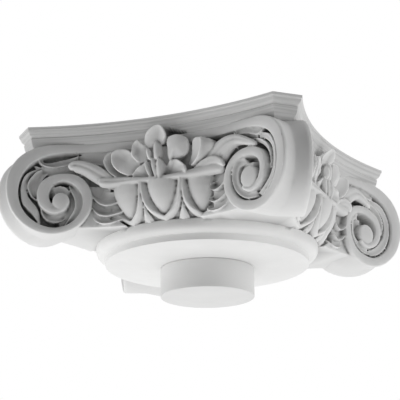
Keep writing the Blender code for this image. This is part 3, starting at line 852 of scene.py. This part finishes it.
def buildCarving():
    side = buildHalf(rightScroll, rightFronds, rightTips, rightSprays) + buildFlower()
    side += [mirrored(shape) for shape in buildHalf(leftScroll, leftFronds, leftTips, leftSprays)]
    step = echinus["scale"] * radians(echinus["pitch"])
    side += [onEchinus(egg(step * k)) for k in (-1, 0, 1)]
    hidden = echinus["hiddenShare"]
    shells = [shell(-step, leftStart=hidden), shell(0), shell(step, rightStart=hidden)]
    side += [onEchinus(shape) for shape in shells + [dart(step * k) for k in (-0.5, 0.5)]]
    side += [scrollBody(), pier(cornerPier["start"], cornerPier["top"]),
             pier(cornerPier["footStart"], cornerPier["footTop"], cornerPier["footSlope"])]
    shapes = [drum(), backBlock()] + fourSides(side)
    carving = meshObject("carvedBody", shapes)
    fuse(carving, *skin["full"])
    carving.data.shade_smooth()
    print("carving fused:", len(carving.data.polygons), "triangles")
    return carving


# abacus

abacus = {
    "half": 149.6,
    "cornerCut": 21.7,
    "hollow": 21.5,
    "top": 151.7,
    "sideSteps": 144,
    "cornerSteps": 5,
    # the dark niche over the band beside each flower: its ends, heights, slope and depth
    "nicheEnds": (5, 31),
    "nicheHeights": (133, 142.6),
    "nicheSlope": 0.34,
    "nicheDepth": 14,
    "nicheEdges": (2.5, 1.2),
    "sharpAngle": 38,
    # inset from the top edge, and depth below it
    "profile": ((0, 0), (0.25, 0.35), (0.3, 2.6), (0.9, 3), (1.3, 3.4), (1.5, 4.6), (2.2, 6.2),
                (3.3, 7.8), (4.3, 8.8), (4.9, 9.1), (5.2, 9.6), (4.9, 10.2), (4.6, 10.6), (4.8, 12),
                (5, 13), (5.2, 14), (5.5, 15.1), (5.9, 16.2), (6.4, 17.3), (6.9, 18.4), (7.4, 19.3),
                (7.9, 20.2), (8.3, 21.2), (8.3, 24)),
}


def niche(x, z):
    a = abacus
    start, end = a["nicheEnds"]
    bottom, top = a["nicheHeights"]
    sideEdge, levelEdge = a["nicheEdges"]
    along = np.clip(np.minimum(x - start, end - x) / sideEdge, 0, 1)
    up = np.clip(np.minimum(z - bottom, top - a["nicheSlope"] * (x - start) - z) / levelEdge, 0, 1)
    return a["nicheDepth"] * along * up


def abacusOutline(inset, z):
    a = abacus
    chord = a["half"] - a["cornerCut"]
    curve = (chord ** 2 + a["hollow"] ** 2) / (2 * a["hollow"])
    centre = a["half"] - a["hollow"] + curve
    reach = curve + inset
    corner = 2 * a["half"] - a["cornerCut"] - inset * sqrt(2)
    swing = pi / 4 + asin((corner - centre) / (reach * sqrt(2)))
    angles = np.linspace(-swing, swing, a["sideSteps"] + 1)
    side = np.column_stack((reach * np.sin(angles), reach * np.cos(angles) - centre))
    side[:, 1] += niche(side[:, 0], z)
    end, beyond = side[-1], -side[-1][::-1]
    steps = a["cornerSteps"]
    corners = [end + (beyond - end) * k / steps for k in range(1, steps)]
    return cornerOutline(np.vstack((side, corners)))


def buildAbacus():
    a = abacus
    rings = []
    for inset, depth in reversed(a["profile"]):
        z = a["top"] - depth
        rings.append(level(abacusOutline(inset, z), z))
    return mouldedObject("abacus", loft(rings), a["sharpAngle"])


# necking ring and plug

neckingRing = {
    "sides": 180,
    "sharpAngle": 50,
    # radius and height
    "profile": ((60, 29.5), (62, 29.5), (85, 30.6), (101.6, 32.3), (102.9, 32.8), (103.1, 33.6),
                (103.1, 38.6), (103.4, 39.3), (104.4, 39.6), (106, 39.9), (108, 40.7), (109.9, 41.8),
                (111.2, 43.4), (112, 45.2), (112.3, 47), (112.3, 50.4), (111.9, 51.6), (111, 52.2),
                (104, 52.6), (96, 52.8)),
}

plugShape = {
    "sides": 120,
    "sharpAngle": 50,
    "bevel": 0.9,
    "bevelAngles": (0.4, 0.8, 1.2),
    "topBreak": 0.3,
    "rows": (0, 0.35, 0.6, 0.78, 0.9, 0.96),
    "capHole": 0.5,  # the flat ends start at this share of the radius
}


def buildRing():
    ring = neckingRing
    return mouldedObject("neckingRing", turned(ring["profile"], ring["sides"]), ring["sharpAngle"])


def buildPlug():
    p = plugShape
    radius, top = plugHigh[0], plugHigh[2]
    bevel = p["bevel"]
    profile = [(radius * p["capHole"], 0.0), (radius - bevel, 0.0)]
    profile += [(radius - bevel + bevel * sin(a), bevel - bevel * cos(a)) for a in p["bevelAngles"]]
    profile += [(radius, bevel + share * (top - bevel)) for share in p["rows"]]
    profile += [(radius, top - p["topBreak"]), (radius - p["topBreak"], top), (radius * p["capHole"], top)]
    return mouldedObject("roundPlug", turned(profile, p["sides"]), p["sharpAngle"])


# matte white primer

primer = {
    "colour": (0.80, 0.80, 0.795),
    # painted shade in enclosed hollows and in grooves, and a painted highlight on ridges, where the
    # carving has them
    "shades": (("painted_hollow_shade", (0.12, 0.12, 0.118)), ("groove", (0.17, 0.17, 0.167)),
               ("ridge", (0.97, 0.97, 0.965))),
    "litRingColour": (0.90, 0.90, 0.893),  # painted light: the ring is coloured lighter than the rest for the brighter light it gets
    "cloud": (34, 4),  # scale and detail of soft patches
    "cloudRange": (0.3, 0.7),
    "cloudShade": 0.96,
    "streaks": (1, 5),
    "streakScale": (7, 7, 420),
    "streakRange": (0.42, 0.7),
    "streakColour": (0.60, 0.60, 0.595),
    "sheen": 60,
    "roughness": (0.56, 0.70),
    "specular": 0.3,
    # scale, detail, depth in metres and strength of the bumps
    "waver": (26, 2, 0.0009, 0.5),
    "grain": (900, 2, 0.00012, 0.6),
}


def fill(node, values):
    for socket, value in values.items():
        node.inputs[socket].default_value = value


def makePrimer(name, shades, colour=primer["colour"], streaked=False):
    p = primer
    material = bpy.data.materials.new(name)
    material.use_nodes = True
    nodes, links = material.node_tree.nodes, material.node_tree.links
    shader = nodes["Principled BSDF"]
    place = nodes.new("ShaderNodeTexCoord").outputs["Object"]

    def noise(scale, detail=2.0, where=place):
        texture = nodes.new("ShaderNodeTexNoise")
        fill(texture, {"Scale": scale, "Detail": detail})
        links.new(where, texture.inputs["Vector"])
        return texture.outputs["Fac"]

    def mapped(value, kind, ends):
        spread = nodes.new("ShaderNodeMapRange")
        fill(spread, {kind + " Min": ends[0], kind + " Max": ends[1]})
        links.new(value, spread.inputs["Value"])
        return spread.outputs["Result"]

    def covered(under, amount, over):
        mix = nodes.new("ShaderNodeMix")
        mix.data_type = "RGBA"
        links.new(amount, mix.inputs["Factor"])
        links.new(under, mix.inputs["A"])
        mix.inputs["B"].default_value = (*over, 1)
        return mix.outputs["Result"]

    tint = nodes.new("ShaderNodeValToRGB")
    for stop, position, shade in zip(tint.color_ramp.elements, p["cloudRange"], (p["cloudShade"], 1.0)):
        stop.position = position
        stop.color = (*(c * shade for c in colour), 1)
    links.new(noise(*p["cloud"]), tint.inputs["Fac"])
    finish = tint.outputs["Color"]
    if streaked:
        stretch = nodes.new("ShaderNodeMapping")
        stretch.inputs["Scale"].default_value = p["streakScale"]
        links.new(place, stretch.inputs["Vector"])
        streaks = noise(*p["streaks"], stretch.outputs["Vector"])
        finish = covered(finish, mapped(streaks, "From", p["streakRange"]), p["streakColour"])
    # painted shade darkens hollows and grooves, and a painted highlight lightens ridges
    for attribute, shadeColour in shades:
        amount = nodes.new("ShaderNodeAttribute")
        amount.attribute_name = attribute
        finish = covered(finish, amount.outputs["Fac"], shadeColour)
    links.new(finish, shader.inputs["Base Color"])
    links.new(mapped(noise(p["sheen"]), "To", p["roughness"]), shader.inputs["Roughness"])

    below = None
    for scale, detail, depth, strength in (p["waver"], p["grain"]):
        bump = nodes.new("ShaderNodeBump")
        fill(bump, {"Distance": depth, "Strength": strength})
        links.new(noise(scale, detail), bump.inputs["Height"])
        if below:
            links.new(below, bump.inputs["Normal"])
        below = bump.outputs["Normal"]
    links.new(below, shader.inputs["Normal"])
    shader.inputs["Specular IOR Level"].default_value = p["specular"]
    return material


# how enclosed each point of the pieces is, stored as painted shade for the hollows

cavityCheck = {
    "rays": 20,
    "lift": 0.4,
    "reach": 13,
    "start": 0.5,
    "full": 0.97,
    # above the eggs, what stands in front of the face counts as open
    "openHeight": 90,
    "openFront": 0.5,
    "fade": 2,
}


def storeShade(mesh, name, values):
    layer = mesh.attributes.new(name, "FLOAT", "POINT")
    layer.data.foreach_set("value", values.astype(np.float32))


def storeCavities(pieces):
    corners, faces = [], []
    for piece in pieces:
        first = len(corners)
        corners += [v.co.copy() for v in piece.data.vertices]
        # the wide end caps lie inside or outermost, and would only slow the rays
        faces += [[first + i for i in face.vertices] for face in piece.data.polygons
                  if len(face.vertices) < 5]
    tree = BVHTree.FromPolygons(corners, faces)
    for piece in pieces:
        storeCavity(piece.data, tree)


# how much of the painted hollow shade each point may take
def hiddenShare(points):
    # 1 for points behind the face or beside the eggs, 0 for what stands out in front above them
    c = cavityCheck
    along, out = np.sort(np.abs(points[:, :2]), axis=1).T
    back = hollowFace["depth"] + hollowFace["curve"]
    front = hollowFace["curve"] - np.hypot(along, back - out)
    behind = np.clip((c["openFront"] - front) / c["fade"], 0, 1)
    low = np.clip((c["openHeight"] - points[:, 2]) / c["fade"], 0, 1)
    return np.maximum(behind, low)


def storeCavity(mesh, tree):
    c = cavityCheck
    index = np.arange(c["rays"]) + 0.5
    height = np.sqrt(1 - index / c["rays"])
    swirl = index * pi * (1 + sqrt(5))
    flat = np.sqrt(1 - height ** 2)
    directions = np.column_stack((flat * np.cos(swirl), flat * np.sin(swirl), height))
    values = np.zeros(len(mesh.vertices))
    for i, vert in enumerate(mesh.vertices):
        normal = vert.normal
        across = normal.orthogonal().normalized()
        upward = normal.cross(across)
        origin = vert.co + normal * c["lift"] * mm
        rays = (across * x + upward * y + normal * z for x, y, z in directions)
        hits = sum(tree.ray_cast(origin, ray, c["reach"] * mm)[0] is not None for ray in rays)
        values[i] = hits / c["rays"]
    values = np.clip((values - c["start"]) / (c["full"] - c["start"]), 0, 1)
    # the more enclosed a point is, the more shade is painted into its colour
    storeShade(mesh, "painted_hollow_shade", values * hiddenShare(readVertices(mesh, "co") / mm))


# how far each point stands above or lies below its surroundings, stored to paint shade into grooves and a
# highlight onto ridges

reliefCheck = {
    "steps": 10,
    "pace": 0.5,
    "edge": 0.9,  # longer triangle edges are smoothed in smaller steps
    # heights that give the full painted highlight on a ridge and the full painted shade in a groove
    "ridge": 0.34,
    "groove": 0.42,
}


def storeRelief(piece):
    r = reliefCheck
    mesh = piece.data
    count = len(mesh.vertices)
    points, normals = readVertices(mesh, "co") / mm, readVertices(mesh, "normal")
    ends = np.empty(len(mesh.edges) * 2, dtype=int)
    mesh.edges.foreach_get("vertices", ends)
    meets = np.bincount(ends, minlength=count)
    first, second = ends.reshape(-1, 2).T

    def gathered(values):
        return (np.bincount(first, values[second], count)
                + np.bincount(second, values[first], count)) / meets

    def averaged(values):
        return np.column_stack([gathered(column) for column in values.T])

    length = np.linalg.norm(points[first] - points[second], axis=1) ** 2
    spread = (np.bincount(first, length, count) + np.bincount(second, length, count)) / meets
    pace = r["pace"] * np.minimum(1, r["edge"] ** 2 / spread)[:, None]
    flowing = points
    for _ in range(r["steps"]):
        flowing = flowing + pace * (averaged(flowing) - flowing)
    height = np.sum((points - flowing) * normals, axis=1)[:, None]
    height = (height + averaged(height)) / 2
    # painted highlight on ridges, painted shade in grooves
    for name, values in (("ridge", height / r["ridge"]), ("groove", -height / r["groove"])):
        storeShade(mesh, name, np.clip(values[:, 0], 0, 1))


# camera, light and floor

view = {
    "azimuth": 22.39,
    "elevation": -16.6,
    "roll": -0.44,
    "distance": 1.770,
    "target": (-0.0064, -0.0026, 0.1025),
    "focal": 1729.2,  # in pixels of the 400 pixel frame
    "frame": 400,
    "sensor": 36,
}


def direction(azimuth, elevation):
    az, el = radians(azimuth), radians(elevation)
    return Vector((sin(az) * cos(el), -cos(az) * cos(el), sin(el)))


def addCamera():
    v = view
    roll = radians(v["roll"])
    back = direction(v["azimuth"], v["elevation"])
    right = (-back).cross(Vector((0, 0, 1))).normalized()
    up = right.cross(-back)
    tiltedRight = right * cos(roll) + up * sin(roll)
    tiltedUp = up * cos(roll) - right * sin(roll)
    pose = Matrix((tiltedRight, tiltedUp, back)).transposed().to_4x4()
    pose.translation = Vector(v["target"]) + back * v["distance"]
    lens = bpy.data.cameras.new("camera")
    lens.sensor_width = v["sensor"]
    lens.lens = v["focal"] / v["frame"] * lens.sensor_width
    camera = placed("camera", lens)
    camera.matrix_world = pose
    bpy.context.scene.camera = camera


studio = {
    "centreHeight": 0.1,
    "ambient": 0.033,
    # broad glows of the white tent: azimuth, elevation, level, and the cosine where each fades out
    "glows": ((0, -90, 0.93, -0.1), (0, 90, 0.18, 0.2), (202, 10, 0.8, 0), (0, 90, 1.1, 0.8)),
    # soft boxes: azimuth, elevation, diameter, power
    "softBoxes": ((-60, -13, 2.4, 26), (100, 0, 2.1, 25)),
    "softBoxDistance": 2.6,
    "floorHeight": -0.62,
    "floorSize": 6,
    "floorSides": 96,
    "floorColour": 0.9,
    "floorRoughness": 0.9,
    "floorGlow": 0.35,
}


def addTent():
    world = bpy.data.worlds.new("light tent")
    bpy.context.scene.world = world
    world.use_nodes = True
    nodes, links = world.node_tree.nodes, world.node_tree.links
    glowing = nodes["Background"]
    coords = nodes.new("ShaderNodeTexCoord")
    total = None
    for azimuth, elevation, strength, edge in studio["glows"]:
        towards = nodes.new("ShaderNodeVectorMath")
        towards.operation = "DOT_PRODUCT"
        towards.inputs[1].default_value = direction(azimuth, elevation)
        links.new(coords.outputs["Generated"], towards.inputs[0])
        fade = nodes.new("ShaderNodeMapRange")
        fade.interpolation_type = "SMOOTHSTEP"
        fill(fade, {"From Min": edge, "To Max": strength})
        links.new(towards.outputs["Value"], fade.inputs["Value"])
        sumUp = nodes.new("ShaderNodeMath")
        sumUp.inputs[0].default_value = studio["ambient"]
        if total:
            links.new(total, sumUp.inputs[0])
        links.new(fade.outputs["Result"], sumUp.inputs[1])
        total = sumUp.outputs["Value"]
    links.new(total, glowing.inputs["Strength"])
    glowing.inputs["Color"].default_value = (1, 1, 1, 1)

    # the backdrop itself is plain white
    backdrop = nodes.new("ShaderNodeBackground")
    backdrop.inputs["Color"].default_value = (1, 1, 1, 1)
    seen = nodes.new("ShaderNodeLightPath")
    choose = nodes.new("ShaderNodeMixShader")
    links.new(seen.outputs["Is Camera Ray"], choose.inputs["Fac"])
    links.new(glowing.outputs["Background"], choose.inputs[1])
    links.new(backdrop.outputs["Background"], choose.inputs[2])
    links.new(choose.outputs["Shader"], nodes["World Output"].inputs["Surface"])


def addSoftBoxes():
    s = studio
    for azimuth, elevation, diameter, power in s["softBoxes"]:
        lamp = bpy.data.lights.new("softBox", "AREA")
        lamp.shape = "DISK"
        lamp.size = diameter
        lamp.energy = power
        box = placed("softBox", lamp)
        towards = direction(azimuth, elevation)
        box.location = towards * s["softBoxDistance"] + Vector((0, 0, s["centreHeight"]))
        box.rotation_euler = towards.to_track_quat("Z", "Y").to_euler()
        box.visible_camera = False


def addFloor():
    s = studio
    bpy.ops.mesh.primitive_circle_add(vertices=s["floorSides"], radius=s["floorSize"], fill_type="NGON",
                                      location=(0, 0, s["floorHeight"]))
    floor = bpy.context.object
    floor.name = "studioFloor"
    paper = bpy.data.materials.new("pale paper")
    paper.use_nodes = True
    fill(paper.node_tree.nodes["Principled BSDF"], {
        "Base Color": (*[s["floorColour"]] * 3, 1), "Roughness": s["floorRoughness"],
        "Emission Color": (1, 1, 1, 1), "Emission Strength": s["floorGlow"]})
    floor.data.materials.append(paper)
    # the glow from below passes the thin floor
    floor.visible_diffuse = False
    floor.visible_glossy = False
    floor.visible_shadow = False


addCamera()
addTent()
addSoftBoxes()
addFloor()
bpy.context.scene.view_settings.view_transform = "Standard"
print("camera and studio ready")

carving = buildCarving()
abacusPiece = buildAbacus()
ringPiece = buildRing()
plugPiece = buildPlug()
print("mouldings turned")
storeCavities((carving, abacusPiece, ringPiece, plugPiece))
storeRelief(carving)
print("cavities and ridges measured")
# the mouldings take only the painted shade in their hollows
onlyPaintedHollowShade = primer["shades"][:1]
for piece, finish in (
        (carving, makePrimer("carved primer with painted shade and highlight", primer["shades"])),
        (abacusPiece, makePrimer("moulding primer with painted shade", onlyPaintedHollowShade, streaked=True)),
        (ringPiece, makePrimer("ring primer, painted lighter", onlyPaintedHollowShade, primer["litRingColour"])),
        (plugPiece, makePrimer("plain primer with painted shade", onlyPaintedHollowShade))):
    piece.data.materials.append(finish)
print("finishes ready")

for piece in (carving, abacusPiece, ringPiece):
    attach(piece, "root")
    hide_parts("capital")
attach(plugPiece, "root")
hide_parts("plug")
